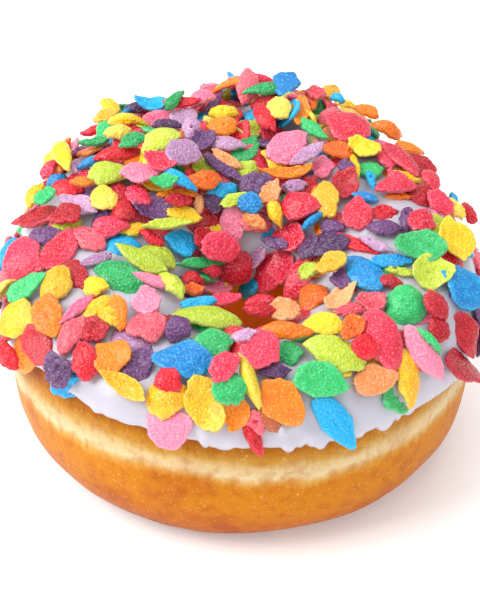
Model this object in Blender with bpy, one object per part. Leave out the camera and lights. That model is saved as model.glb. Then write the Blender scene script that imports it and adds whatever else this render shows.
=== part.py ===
"""A ring doughnut of raised dough, with white icing and a crust of crisp rice flakes.

Two solids at their real size: the dough ring, and the icing with its largest flakes fused to it.
Lengths are in metres. The front is at -Y, and the doughnut stands on Z = 0 round the origin.
"""

import math
import random

import bmesh
import bpy
from mathutils import Matrix, Vector, kdtree

# The dough ring, round the middle of its width. Heights are counted from the pale band where it is widest.
OUTER_RADIUS = 0.050
FRONT_REACH = 0.94  # the front half is this much shallower than it is wide, and the back half deeper
BACK_REACH = 1.14
BACK_RIGHT_TUCK = 0.05  # the back right is pulled in by this share
HOLE_RADIUS = 0.0085
HOLE_RIGHT, HOLE_FRONT = 0.0022, 0.0038  # how far the hole lies off the middle
UNDERSIDE = 0.0248
FOOT_PRESS = 0.0004  # how far the round underside is pressed flat where it stands
CREST = 0.0225
CREST_RISE = 0.0062  # the crest is this much higher at the back, and lower at the front
BAND_WAVER = 0.0022  # how far the band strays up and down
RING_STEPS = 56
SECTION_STEPS = 22
# How square each quarter of the section is: 2 is an ellipse.
OUTER_TOP, INNER_TOP, INNER_FOOT, OUTER_FOOT = 2.9, 2.1, 2.4, 2.9

# The icing over the top of the ring.
GAP = 0.0003  # between the icing and the dough
ICING = 0.0024
ICING_EDGE = 0.0058  # height of its outer edge over the pale band
ICING_SLANT = 0.0013  # that edge is higher at the front left than at the right
ICING_SAG = 0.0022  # lower still in the very front
ICING_DRIP = 0.0008  # and wavers this much
HOLE_EDGE = 0.0075  # height of its inner edge, inside the hole
HOLE_BARE = 0.0062  # that edge is this much higher on the hole's front side
ICING_STEPS = 22

# The flakes, in the order in which they fall.
FLAKES = 150
LONGEST, SHORTEST = 0.0124, 0.0084
NARROWEST, WIDEST = 0.56, 0.80  # width over length
THICKNESS = 0.0017
SINK = 0.0006  # how deep a flake beds into what it lands on
PILE_FRONT, PILE_BACK = 0.0015, 0.0100  # how high the flakes heap up
BARE_FRONT = 0.0100  # no flake lands on this much of the icing's height, in the very front
FREE_HOLE = 0.0052  # no flake comes nearer the hole's own axis
BED_ANGLES = 150
BED_STEPS = 44
TRIES = 14
FLAKE_SEED = 84


def outer_reach(angle):
    """Distance from the middle to the dough's outer edge, at this angle round the ring."""
    across, along = math.cos(angle), math.sin(angle)
    oval = OUTER_RADIUS / math.hypot(across, along / (BACK_REACH if along > 0 else FRONT_REACH))
    tuck = BACK_RIGHT_TUCK * max(0.0, math.cos(angle - 0.6)) ** 6
    return oval * (1 - tuck + 0.006 * math.sin(2 * angle + 1.0) + 0.005 * math.sin(3 * angle + 2.2))


def hole_reach(angle):
    """Distance from the middle to the hole's edge. The hole is round, but lies off the middle."""
    towards = HOLE_RIGHT * math.cos(angle) - HOLE_FRONT * math.sin(angle)
    offset = math.hypot(HOLE_RIGHT, HOLE_FRONT)
    reach = towards + math.sqrt(HOLE_RADIUS**2 - offset**2 + towards**2)
    return reach * (1 + 0.04 * math.sin(2 * angle + 0.5))


def ring_at(angle):
    """Middle radius, half width, height of the band and height of the crest at this angle round the ring."""
    inner = hole_reach(angle)
    outer = outer_reach(angle)
    from_left = angle + math.radians(132)
    band = UNDERSIDE + BAND_WAVER * (math.cos(3 * from_left) + math.cos(2 * from_left)) / 2
    uneven = 0.0005 * math.sin(3 * angle + 0.7) + 0.0004 * math.sin(5 * angle + 2.0)
    crest = UNDERSIDE + CREST + CREST_RISE * math.sin(angle) + uneven
    return (outer + inner) / 2, (outer - inner) / 2, band, crest


def squareness(turn):
    if math.cos(turn) >= 0:
        return OUTER_TOP if math.sin(turn) >= 0 else OUTER_FOOT
    return INNER_TOP if math.sin(turn) >= 0 else INNER_FOOT


def signed_power(value, power):
    return math.copysign(abs(value) ** power, value)


def on_dough(angle, turn, lift=0.0):
    """A point on the dough and the way that its surface faces. turn goes round the section, from its
    outermost point over the crest, and lift is how far the point stands off the dough."""
    middle, half_width, band, crest = ring_at(angle)
    height = crest - band if math.sin(turn) >= 0 else band + FOOT_PRESS
    power = squareness(turn)
    out = signed_power(math.cos(turn), 2 / power)
    up = signed_power(math.sin(turn), 2 / power)
    slope = Vector((signed_power(out, power - 1) / half_width, signed_power(up, power - 1) / height))
    slope.normalize()
    radius = middle + half_width * out + lift * slope.x
    level = max(band + height * up, 0.0) + lift * slope.y
    point = Vector((radius * math.cos(angle), radius * math.sin(angle), level))
    facing = Vector((slope.x * math.cos(angle), slope.x * math.sin(angle), slope.y))
    return point, facing


def turn_at_height(angle, height, inner=False):
    """Where round the upper section the dough reaches this height over the underside."""
    _, _, band, crest = ring_at(angle)
    share = (height - band) / (crest - band)
    turn = math.asin(share ** ((INNER_TOP if inner else OUTER_TOP) / 2))
    return math.pi - turn if inner else turn


def icing_edge(angle):
    """Height of the icing's outer edge over the underside."""
    slant = math.cos(angle + math.radians(150)) + math.cos(2 * angle + math.radians(270))
    waver = math.sin(3 * angle + 0.4) + 0.7 * math.sin(7 * angle + 1.9) + 0.6 * math.sin(11 * angle + 4.0)
    sag = max(0.0, -math.sin(angle)) ** 3
    return UNDERSIDE + ICING_EDGE + ICING_SLANT * slant - ICING_SAG * sag + ICING_DRIP * waver / 1.6


def icing_limits(angle):
    """Where round the section the icing starts on the outside and ends in the hole."""
    outside = turn_at_height(angle, icing_edge(angle))
    bare = HOLE_BARE * max(0.0, math.cos(angle + math.radians(70))) ** 2
    inner_edge = UNDERSIDE + HOLE_EDGE + bare + ICING_DRIP * math.sin(4 * angle)
    return outside, turn_at_height(angle, inner_edge, inner=True)


def torus_mesh(name, ring_steps, section_steps, place):
    """A torus whose points are moved to place(angle round the ring, turn round the section). Its faces
    are triangles, because bent squares come out of a Boolean folded."""
    bpy.ops.mesh.primitive_torus_add(
        major_radius=1.0, minor_radius=0.25, major_segments=ring_steps, minor_segments=section_steps
    )
    obj = bpy.context.object
    obj.name = name
    shape = bmesh.new()
    shape.from_mesh(obj.data)
    for vertex in shape.verts:
        x, y, z = vertex.co
        turn = math.atan2(z, math.hypot(x, y) - 1.0)
        vertex.co = place(math.atan2(y, x), turn)
    bmesh.ops.triangulate(shape, faces=shape.faces)
    shape.to_mesh(obj.data)
    shape.free()
    return obj


def make_dough(name, lift=0.0):
    return torus_mesh(name, RING_STEPS, SECTION_STEPS, lambda angle, turn: on_dough(angle, turn, lift)[0])


def icing_point(angle, turn):
    """The icing's section: its top for the upper half turn, and an underside sunk in the dough for the rest."""
    outside, inside = icing_limits(angle)
    share = abs(turn) / math.pi
    place = outside + (inside - outside) * share
    edge = abs(2 * share - 1)
    if turn >= 0:
        lift = (ICING + GAP) * math.sqrt(1 - edge**7) - 0.5 * ICING * edge**40
    else:
        lift = -0.5 * ICING
    return on_dough(angle, place, lift)[0]


def make_bed():
    """Small cells over the icing's top where flakes can land. Each has a place, the way up, an area that
    grows towards the back, how high the flakes may heap up, and how high they stand so far."""
    cells = []
    for i in range(BED_ANGLES):
        angle = math.tau * i / BED_ANGLES
        outside, inside = icing_limits(angle)
        bare = BARE_FRONT * max(0.0, -math.sin(angle)) ** 2
        outside = turn_at_height(angle, icing_edge(angle) + bare)
        for j in range(BED_STEPS):
            turn = outside + (inside - outside) * (j + 0.5) / BED_STEPS
            place, up = on_dough(angle, turn, GAP + ICING)
            before, after = (on_dough(angle, turn + step / BED_STEPS, GAP + ICING)[0] for step in (-1, 1))
            back = math.sin(angle)
            cells.append({
                "place": place,
                "up": up,
                "area": (after - before).length * math.hypot(place.x, place.y) * (1 + 0.6 * back),
                "heap": PILE_FRONT + (PILE_BACK - PILE_FRONT) * max(0.0, back),
                "height": 0.0,
            })
    return cells


def land(flake, centre, bed, near):
    """Lays a flake on the bed round one cell: it leans on what lies there, and the bed rises under it."""
    up = centre["up"]
    along = up.orthogonal().normalized()
    along.rotate(Matrix.Rotation(flake["spin"], 3, up))
    across = up.cross(along)
    half_length, half_width = flake["length"] / 2, flake["width"] / 2
    under = []
    for _, index, _ in near.find_range(centre["place"], half_length):
        cell = bed[index]
        top = cell["place"] + cell["up"] * cell["height"] - centre["place"]
        u, v, w = top.dot(along), top.dot(across), top.dot(up)
        if (u / half_length) ** 2 + (v / half_width) ** 2 <= 1:
            under.append((u, v, w, cell))
    count = len(under)
    rest = sum(w for _, _, w, _ in under) / count
    lean_along = sum(u * (w - rest) for u, _, w, _ in under) / (sum(u * u for u, _, _, _ in under) + 1e-9)
    lean_across = sum(v * (w - rest) for _, v, w, _ in under) / (sum(v * v for _, v, _, _ in under) + 1e-9)
    lean_along += math.tan(flake["tip"]) * math.cos(flake["tip_way"])
    lean_across += math.tan(flake["tip"]) * math.sin(flake["tip_way"])
    proud = sorted(w - lean_along * u - lean_across * v for u, v, w, _ in under)
    level = proud[int(0.86 * (count - 1))] - SINK + THICKNESS / 2
    facing = (up - along * lean_along - across * lean_across).normalized()
    along = (along - facing * along.dot(facing)).normalized()
    flake["frame"] = Matrix((along, facing.cross(along), facing)).transposed().to_4x4()
    flake["frame"].translation = centre["place"] + up * level
    for u, v, w, cell in under:
        top = level + lean_along * u + lean_across * v + THICKNESS / 2
        cell["height"] += max(0.0, top - w)
    return flake


def scatter(count, longest, shortest, bed, landed, draw):
    """Drops this many flakes on the bed, largest first. Each tries several places and takes the one
    where the flakes lie lowest and that is furthest from those already down."""
    near = kdtree.KDTree(len(bed))
    for index, cell in enumerate(bed):
        near.insert(cell["place"], index)
    near.balance()
    areas = [cell["area"] for cell in bed]
    for number in range(count):
        length = longest + (shortest - longest) * number / max(1, count - 1)
        flake = {
            "length": length,
            "width": length * draw.uniform(NARROWEST, WIDEST),
            "spin": draw.uniform(0, math.tau),
            "tip": math.radians(draw.choice((0, 6, 12, 20, 32, 48)) * draw.uniform(0.6, 1.2)),
            "tip_way": draw.uniform(0, math.tau),
            "taper": draw.uniform(0.0, 0.42),
            "curl": draw.uniform(-0.12, 0.36),
            "twist": draw.uniform(-0.35, 0.35),
            "lobes": [draw.uniform(0, math.tau) for _ in range(3)],
        }

        def merit(index):
            cell = bed[index]
            apart = min((cell["place"] - other["frame"].translation).length for other in landed)
            return min(apart, length) - 2.5 * max(0.0, cell["height"] - cell["heap"])

        tries = draw.choices(range(len(bed)), areas, k=TRIES)
        best = max(tries, key=merit) if landed else tries[0]
        landed.append(land(flake, bed[best], bed, near))
    return landed


def flake_point(flake, x, y, z):
    """Where a point of a ball of radius 1 goes on this flake: a thin, leaf-like plate, curled and twisted."""
    rim = math.hypot(x, y)
    around = math.atan2(y, x)
    first, second, third = flake["lobes"]
    wave = 0.07 * math.cos(2 * around + first) + 0.06 * math.cos(3 * around + second)
    reach = rim**0.5 * (1 + wave + 0.04 * math.cos(5 * around + third))
    u = reach * math.cos(around)
    v = reach * math.sin(around) * (1 - flake["taper"] * u * u)
    half_length, half_width = flake["length"] / 2, flake["width"] / 2
    w = signed_power(z, 0.8) * THICKNESS / 2
    w -= flake["curl"] * half_length * (u * u + 0.5 * v * v - 0.35)
    turned = flake["twist"] * u
    across = v * half_width
    local = Vector((u * half_length, across * math.cos(turned), w + across * math.sin(turned)))
    return flake["frame"] @ local


def clear_of_hole(flake):
    """Moves a flake straight out from the hole's axis until none of it is inside the free radius."""
    axis = Vector((HOLE_RIGHT, -HOLE_FRONT, 0))
    rim = [flake_point(flake, math.cos(a), math.sin(a), 0) for a in (math.tau * k / 16 for k in range(16))]
    short = FREE_HOLE - min((point - axis).xy.length for point in rim)
    if short > 0:
        away = flake["frame"].translation - axis
        flake["frame"].translation += Vector((away.x, away.y, 0)).normalized() * short * 1.4


def make_flake(name, flake, collection):
    """One flake as a plate of 32 triangles."""
    shape = bmesh.new()
    bmesh.ops.create_uvsphere(shape, u_segments=8, v_segments=3, radius=1.0)
    for vertex in shape.verts:
        vertex.co = flake_point(flake, *vertex.co)
    bmesh.ops.triangulate(shape, faces=shape.faces)
    bmesh.ops.recalc_face_normals(shape, faces=shape.faces)
    mesh = bpy.data.meshes.new(name)
    shape.to_mesh(mesh)
    shape.free()
    collection.objects.link(bpy.data.objects.new(name, mesh))


def apply_boolean(obj, operation, other=None, collection=None):
    """Joins or cuts obj for good."""
    modifier = obj.modifiers.new(operation.title(), "BOOLEAN")
    modifier.operation = operation
    modifier.solver = "EXACT"
    if collection:
        modifier.operand_type = "COLLECTION"
        modifier.collection = collection
    else:
        modifier.object = other
    bpy.context.view_layer.objects.active = obj
    bpy.ops.object.modifier_apply(modifier=modifier.name)


def keep_largest_body(obj):
    """Drops loose scraps, and the walls of hollows that the fusing sealed."""
    shape = bmesh.new()
    shape.from_mesh(obj.data)
    bmesh.ops.triangulate(shape, faces=shape.faces)
    left = set(shape.faces)
    bodies = []
    while left:
        body, to_visit = [], [next(iter(left))]
        while to_visit:
            face = to_visit.pop()
            if face in left:
                left.remove(face)
                body.append(face)
                plain = [edge for edge in face.edges if len(edge.link_faces) == 2]
                to_visit += [near for edge in plain for near in edge.link_faces]
        bodies.append(body)
    bodies.sort(key=len)
    bodies.pop()
    bmesh.ops.delete(shape, geom=[face for body in bodies for face in body], context="FACES")
    bmesh.ops.dissolve_degenerate(shape, edges=shape.edges, dist=5e-6)
    bmesh.ops.triangulate(shape, faces=shape.faces)
    shape.to_mesh(obj.data)
    shape.free()
    print(f"{obj.name}: dropped {len(bodies)} loose scraps or sealed hollows")


def make_icing(parts):
    """The icing cap with its flakes, joined into one solid and cut clear of the dough."""
    icing = torus_mesh("icing", RING_STEPS, ICING_STEPS, icing_point)
    pile = bpy.data.collections.new("flakes")
    parts.children.link(pile)
    bed = make_bed()
    landed = scatter(FLAKES, LONGEST, SHORTEST, bed, [], random.Random(FLAKE_SEED))
    for number, flake in enumerate(landed):
        clear_of_hole(flake)
        make_flake(f"flake_{number:03d}", flake, pile)
    apply_boolean(icing, "UNION", collection=pile)
    for obj in list(pile.objects):
        bpy.data.objects.remove(obj)
    bpy.data.collections.remove(pile)
    cutter = make_dough("dough_cutter", lift=GAP)
    apply_boolean(icing, "DIFFERENCE", other=cutter)
    bpy.data.objects.remove(cutter)
    keep_largest_body(icing)
    return icing


def give_material(obj, name, colour, roughness):
    material = bpy.data.materials.new(name)
    material.use_nodes = True
    shader = material.node_tree.nodes["Principled BSDF"]
    shader.inputs["Base Color"].default_value = (*colour, 1.0)
    shader.inputs["Roughness"].default_value = roughness
    shader.inputs["Metallic"].default_value = 0.0
    obj.data.materials.clear()
    obj.data.materials.append(material)


def centre_on_origin(objects):
    """Slides the whole doughnut level until the middle of its outline is over the origin."""
    points = [vertex.co for obj in objects for vertex in obj.data.vertices]
    middle_x = (min(p.x for p in points) + max(p.x for p in points)) / 2
    middle_y = (min(p.y for p in points) + max(p.y for p in points)) / 2
    for obj in objects:
        obj.data.transform(Matrix.Translation((-middle_x, -middle_y, 0)))


def main():
    for obj in list(bpy.data.objects):
        bpy.data.objects.remove(obj)
    parts = bpy.data.collections.new("doughnut")
    bpy.context.scene.collection.children.link(parts)
    dough = make_dough("dough")
    icing = make_icing(parts)
    give_material(dough, "fried_dough", (0.80, 0.36, 0.07), 0.5)
    give_material(icing, "sugar_icing", (0.86, 0.84, 0.86), 0.3)
    for obj in (dough, icing):
        for home in list(obj.users_collection):
            home.objects.unlink(obj)
        parts.objects.link(obj)
        obj.data.shade_smooth()
        obj.data.set_sharp_from_angle(angle=math.radians(50))
    centre_on_origin((dough, icing))


main()
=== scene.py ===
# %% [markdown]
# A ring doughnut, iced and covered with crisp rice flakes
#
# The doughnut is a ring of raised dough. It was fried on one side and then on the other, so a pale band
# that never touched the hot fat runs round its side. White icing covers the top half, and bright flakes of
# puffed rice are pressed into it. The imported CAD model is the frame: it gives the place of everything here,
# and all lengths are in metres.

# %% Load the frame
import math
import random

import bmesh
import bpy
import numpy as np
from mathutils import Matrix, Vector, kdtree, noise


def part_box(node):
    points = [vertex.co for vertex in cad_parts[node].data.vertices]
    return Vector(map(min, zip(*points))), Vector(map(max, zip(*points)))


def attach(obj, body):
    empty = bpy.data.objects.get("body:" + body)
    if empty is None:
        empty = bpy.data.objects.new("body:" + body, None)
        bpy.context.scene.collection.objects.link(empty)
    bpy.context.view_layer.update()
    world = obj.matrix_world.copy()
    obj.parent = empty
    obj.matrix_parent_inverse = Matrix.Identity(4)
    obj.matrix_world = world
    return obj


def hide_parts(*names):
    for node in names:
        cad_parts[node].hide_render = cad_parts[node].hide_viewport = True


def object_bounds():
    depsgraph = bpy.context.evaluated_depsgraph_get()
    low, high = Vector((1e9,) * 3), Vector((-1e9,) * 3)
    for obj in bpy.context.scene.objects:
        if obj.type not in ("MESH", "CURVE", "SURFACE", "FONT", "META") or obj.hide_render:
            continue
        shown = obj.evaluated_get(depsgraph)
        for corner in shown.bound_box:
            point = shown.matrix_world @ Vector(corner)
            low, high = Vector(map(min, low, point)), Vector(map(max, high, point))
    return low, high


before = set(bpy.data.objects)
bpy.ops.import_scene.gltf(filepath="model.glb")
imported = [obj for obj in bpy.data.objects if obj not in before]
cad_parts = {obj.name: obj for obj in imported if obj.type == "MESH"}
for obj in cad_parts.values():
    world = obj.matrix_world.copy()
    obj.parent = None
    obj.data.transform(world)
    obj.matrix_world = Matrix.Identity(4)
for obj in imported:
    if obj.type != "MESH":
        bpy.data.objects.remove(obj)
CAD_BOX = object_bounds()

print("nodes:", sorted(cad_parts), "box:", [[round(v, 4) for v in corner] for corner in CAD_BOX])

# %% [markdown]
# The ring
#
# A doughnut's ring could be a plain torus, but a real one is squarer on the outside, rounder in the hole,
# fatter and higher at the back, and flat where it stands. One function gives a point of the surface from two
# angles: `angle` goes round the hole, and `turn` goes round the section, from its outermost point up over
# the crest. The dough, the icing and the places of the flakes all come from it, so they fit each other.

# %% Sizes of the dough, as in the CAD model
OUTER_RADIUS = 0.050
FRONT_REACH = 0.94
BACK_REACH = 1.14
BACK_RIGHT_TUCK = 0.05
HOLE_RADIUS = 0.0085
HOLE_RIGHT, HOLE_FRONT = 0.0022, 0.0038  # how far the hole lies off the middle
UNDERSIDE = 0.0248  # height of the pale band over the underside
FOOT_PRESS = 0.0004
CREST = 0.0225
CREST_RISE = 0.0062
BAND_WAVER = 0.0022
CAD_RING_STEPS = 56
OUTER_TOP, INNER_TOP, INNER_FOOT, OUTER_FOOT = 2.9, 2.1, 2.4, 2.9


def outer_reach(angle):
    """Distance from the middle to the dough's outer edge."""
    across, along = math.cos(angle), math.sin(angle)
    oval = OUTER_RADIUS / math.hypot(across, along / (BACK_REACH if along > 0 else FRONT_REACH))
    tuck = BACK_RIGHT_TUCK * max(0.0, math.cos(angle - 0.6)) ** 6
    return oval * (1 - tuck + 0.006 * math.sin(2 * angle + 1.0) + 0.005 * math.sin(3 * angle + 2.2))


def hole_reach(angle):
    """Distance from the middle to the hole's edge. The hole is round, but lies nearer the front right."""
    towards = HOLE_RIGHT * math.cos(angle) - HOLE_FRONT * math.sin(angle)
    offset = math.hypot(HOLE_RIGHT, HOLE_FRONT)
    reach = towards + math.sqrt(HOLE_RADIUS**2 - offset**2 + towards**2)
    return reach * (1 + 0.04 * math.sin(2 * angle + 0.5))


def ring_at(angle):
    """Middle radius, half width, height of the band and height of the crest."""
    inner = hole_reach(angle)
    outer = outer_reach(angle)
    from_left = angle + math.radians(132)
    band = UNDERSIDE + BAND_WAVER * (math.cos(3 * from_left) + math.cos(2 * from_left)) / 2
    uneven = 0.0005 * math.sin(3 * angle + 0.7) + 0.0004 * math.sin(5 * angle + 2.0)
    crest = UNDERSIDE + CREST + CREST_RISE * math.sin(angle) + uneven
    return (outer + inner) / 2, (outer - inner) / 2, band, crest


print("ring at the front and the back, mm:",
      [[round(1000 * v, 1) for v in ring_at(math.radians(a))] for a in (-90, 90)])

# %% A point on the dough, and the way its surface faces


def signed_power(value, power):
    return math.copysign(abs(value) ** power, value)


def squareness(turn):
    if math.cos(turn) >= 0:
        return OUTER_TOP if math.sin(turn) >= 0 else OUTER_FOOT
    return INNER_TOP if math.sin(turn) >= 0 else INNER_FOOT


def on_dough(angle, turn, lift=0.0):
    middle, half_width, band, crest = ring_at(angle)
    height = crest - band if math.sin(turn) >= 0 else band + FOOT_PRESS
    power = squareness(turn)
    out = signed_power(math.cos(turn), 2 / power)
    up = signed_power(math.sin(turn), 2 / power)
    slope = Vector((signed_power(out, power - 1) / half_width, signed_power(up, power - 1) / height))
    slope.normalize()
    radius = middle + half_width * out + lift * slope.x
    level = max(band + height * up, 0.0) + lift * slope.y
    point = Vector((radius * math.cos(angle), radius * math.sin(angle), level))
    facing = Vector((slope.x * math.cos(angle), slope.x * math.sin(angle), slope.y))
    return point, facing


def turn_at_height(angle, height, inner=False):
    """Where round the upper section the dough reaches this height over the underside."""
    _, _, band, crest = ring_at(angle)
    share = (height - band) / (crest - band)
    turn = math.asin(share ** ((INNER_TOP if inner else OUTER_TOP) / 2))
    return math.pi - turn if inner else turn


# %% [markdown]
# From the ring's middle to the frame
#
# The functions above count from the middle of the ring, while the CAD model stands with the middle of its
# outline, flakes and all, over the origin. The lowest x and y of the dough are known in both, so their
# difference is the way from one to the other. Every finished mesh is moved by it, and its object stays at the
# origin.

# %% The shift
cad_low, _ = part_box("dough")
cad_angles = [math.tau * step / CAD_RING_STEPS for step in range(CAD_RING_STEPS)]
rim = [on_dough(angle, 0.0)[0] for angle in cad_angles]
TO_FRAME = Vector((cad_low[0] - min(p.x for p in rim), cad_low[1] - min(p.y for p in rim), 0.0))
print("shift to the frame, mm:", [round(1000 * v, 3) for v in TO_FRAME])

# %% [markdown]
# The camera
#
# The photograph looks down on the doughnut by 38 degrees, from a third of a metre away, with a long lens. The
# ring, its pale band and the edge of the icing gave those figures. The camera is made first, because flakes
# that show clearly are placed by where they are seen in it.

# %% Camera
ELEVATION = math.radians(38)
DISTANCE = 0.373
ROLL = math.radians(-1.15)
PICTURE_WIDE, PICTURE_TALL = 480, 600
PIXELS_PER_METRE = 4560
AIM_LIFT = 27.7 / PIXELS_PER_METRE
SENSOR = 36.0
MM = 0.001

target = TO_FRAME + Vector((0, 0, UNDERSIDE))
TO_CAMERA = Vector((0, -math.cos(ELEVATION), math.sin(ELEVATION)))
PICTURE_UP = Vector((0, math.sin(ELEVATION), math.cos(ELEVATION)))
camera = bpy.data.cameras.new("camera")
camera.sensor_width = SENSOR
camera.lens = PIXELS_PER_METRE * DISTANCE / PICTURE_TALL * SENSOR
viewer = bpy.data.objects.new("camera", camera)
viewer.location = target + TO_CAMERA * DISTANCE
look = (target + PICTURE_UP * AIM_LIFT - viewer.location).to_track_quat("-Z", "Y").to_matrix()
look = look @ Matrix.Rotation(ROLL, 3, "Z")
viewer.rotation_euler = look.to_euler()
bpy.context.scene.collection.objects.link(viewer)
bpy.context.scene.camera = viewer
print("lens:", round(camera.lens, 1), "mm")

# %% Where a point is seen in the picture


def seen_at(points):
    """Picture x and y of points counted from the ring's middle, in pixels, and how far off they are."""
    turn = np.array(look)
    local = (np.asarray(points) + np.array(TO_FRAME - viewer.location)) @ turn
    focal = PIXELS_PER_METRE * DISTANCE
    x = PICTURE_WIDE / 2 - focal * local[:, 0] / local[:, 2]
    y = PICTURE_TALL / 2 + focal * local[:, 1] / local[:, 2]
    return x, y, -local[:, 2]


print("the ring's middle is seen at", [round(float(v[0]), 1) for v in seen_at([(0, 0, UNDERSIDE)])[:2]])

# %% [markdown]
# Making a mesh from a ring
#
# A circle of points is spun once round the middle. That gives a closed torus of even squares, and each
# point then moves to where its two angles belong on the doughnut. Spinning is quicker to read than a list of
# points, and its last step is merged with the first, so no seam stays open.

# %% A spun ring


def spun_ring(name, ring_steps, section_steps, place):
    """A torus whose points are moved to place(angle, turn); returns the object and the angles used."""
    shape = bmesh.new()
    section = bmesh.ops.create_circle(shape, segments=section_steps, radius=0.25)["verts"]
    bmesh.ops.rotate(shape, verts=section, matrix=Matrix.Rotation(math.pi / 2, 3, "X"))
    bmesh.ops.translate(shape, verts=section, vec=(1, 0, 0))
    bmesh.ops.spin(
        shape, geom=shape.edges[:] + shape.verts[:], cent=(0, 0, 0), axis=(0, 0, 1), dvec=(0, 0, 0),
        angle=math.tau, steps=ring_steps, use_merge=True,
    )
    bmesh.ops.remove_doubles(shape, verts=shape.verts, dist=1e-5)
    turns = []
    for vertex in shape.verts:
        x, y, z = vertex.co
        angle, turn = math.atan2(y, x), math.atan2(z, math.hypot(x, y) - 1.0)
        turns.append((angle, turn))
        vertex.co = place(angle, turn) + TO_FRAME
    bmesh.ops.recalc_face_normals(shape, faces=shape.faces)
    return finish_mesh(name, shape), turns


def finish_mesh(name, shape):
    """Puts the shape into an object at the origin, shaded smooth."""
    mesh = bpy.data.meshes.new(name)
    shape.to_mesh(mesh)
    shape.free()
    mesh.shade_smooth()
    piece = bpy.data.objects.new(name, mesh)
    bpy.context.scene.collection.objects.link(piece)
    print(f"{name}: {sum(len(face.vertices) - 2 for face in mesh.polygons)} triangles")
    return piece


def store(piece, name, values):
    """Keeps one number for each point, for the material to read."""
    layer = piece.data.attributes.new(name, "FLOAT", "POINT")
    layer.data.foreach_set("value", values)


# %% [markdown]
# The dough's skin
#
# Fried dough is nearly smooth. It has shallow dents and swellings a centimetre or two across, and a fine
# crease along the upper side of the pale band, where the ring stretched as it rose in the fat. The swellings
# are noise on the mesh, and the crease is a low furrow that follows the band.

# %% Dough


def crease(angle):
    """How far over the band the stretched skin folds, in metres."""
    return 0.0022 + 0.0007 * math.sin(2 * angle + 0.6) + 0.0005 * math.sin(5 * angle + 1.0)


def dough_place(angle, turn):
    point, facing = on_dough(angle, turn)
    swell = 0.00030 * noise.noise(point * 55) + 0.00012 * noise.noise(point * 170 + Vector((3, 0, 0)))
    _, _, band, _ = ring_at(angle)
    over = point.z - band - crease(angle)
    outside = max(0.0, math.cos(turn))
    fold = 0.00022 * math.exp(-((over / 0.0006) ** 2)) * (0.4 + noise.noise(Vector((angle * 5, 0, 7))))
    foot = min(1.0, point.z / 0.002)
    return point + facing * (swell - fold * outside) * foot


dough, dough_turns = spun_ring("dough_ring", ring_steps=400, section_steps=150, place=dough_place)

# %% [markdown]
# What the dough's material needs to know
#
# The pale band follows the uneven ring and no level line, so each point keeps its height over the band. The
# wall of the hole has no band, and there the colour is lightened with painted light against the shade deep in
# the hole, so each point also keeps on which side it is. A shader can't work these out from a place alone,
# and a stored number costs nothing.

# %% The dough's guides for its material
WALL_SIDE = -0.2  # a point is on the wall of the hole where the cosine of its turn is under this
WALL_RISE = -2.8  # stands for the height over the band there, in millimetres

rise, in_hole = [], []
for (angle, turn), vertex in zip(dough_turns, dough.data.vertices):
    band = ring_at(angle)[2]
    rise.append(1000 * (vertex.co.z - band) if math.cos(turn) > WALL_SIDE else WALL_RISE)
    in_hole.append(1.0 if math.cos(turn) < WALL_SIDE else 0.0)
store(dough, "rise", rise)
store(dough, "in_hole", in_hole)
print("height over the band, mm:", round(min(rise), 1), "to", round(max(rise), 1))

# %% [markdown]
# The icing's edge
#
# The doughnut is dipped in soft icing face down and turned over. The icing creeps a little down the side, so
# its edge wavers. It tears into small ragged nibs where it pulled away from the bowl, and in front and at the
# left it tore off higher. Slow waves give the edge its run, and each nib is a small arch that hangs from it.

# %% Icing edge
GAP = 0.0003  # the CAD icing stands this clear of the dough, and the coat keeps it
ICING = 0.0024
ICING_EDGE = 0.0058
ICING_SLANT = 0.0013
ICING_SAG = 0.0022
ICING_DRIP = 0.0008
HOLE_EDGE = 0.0075
HOLE_BARE = 0.0062


def icing_edge(angle):
    """Height of the icing's outer edge over the underside."""
    slant = math.cos(angle + math.radians(150)) + math.cos(2 * angle + math.radians(270))
    waver = math.sin(3 * angle + 0.4) + 0.7 * math.sin(7 * angle + 1.9) + 0.6 * math.sin(11 * angle + 4.0)
    sag = max(0.0, -math.sin(angle)) ** 3
    return UNDERSIDE + ICING_EDGE + ICING_SLANT * slant - ICING_SAG * sag + ICING_DRIP * waver / 1.6


def icing_limits(angle):
    """Where round the section the icing starts on the outside and ends in the hole."""
    outside = turn_at_height(angle, icing_edge(angle))
    bare = HOLE_BARE * max(0.0, math.cos(angle + math.radians(70))) ** 2
    inner_edge = UNDERSIDE + HOLE_EDGE + bare + ICING_DRIP * math.sin(4 * angle)
    return outside, turn_at_height(angle, inner_edge, inner=True)


# %% Torn nibs
EDGE_RISE = 0.0021  # in the front the coat tore off this much higher than it first ran
EDGE_RISE_LEFT = 0.0026  # and at the left, about the direction LEFT_TEAR
LEFT_TEAR = math.radians(-139)
LEFT_TEAR_WIDTH = 0.26
EDGE_RADIUS = 0.0455
EDGE_MIDDLE_X = 245.0  # picture x of the middle of the icing's front edge
NIB_SCALE = 4950  # pixels for each metre at that edge, which is nearer than the ring's middle
SMALL_NIBS = 64
SEEN_NIBS = [  # picture x, half the width in pixels and the drop in millimetres
    (210, 5, 1.1), (227, 9, 0.9), (287, 7, 1.4), (309, 5, 0.6), (317, 7, 1.5), (352, 6, 0.8), (377, 9, 1.8),
]
nib_draw = random.Random(5)
NIBS = [
    (nib_draw.uniform(0, math.tau), nib_draw.uniform(0.012, 0.030), nib_draw.uniform(0.0002, 0.0008))
    for _ in range(SMALL_NIBS)
]
for x, wide, drop in SEEN_NIBS:
    across = math.asin((x - EDGE_MIDDLE_X) / NIB_SCALE / EDGE_RADIUS)
    NIBS.append((across - math.pi / 2, wide / PIXELS_PER_METRE / EDGE_RADIUS, drop / 1000))


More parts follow.
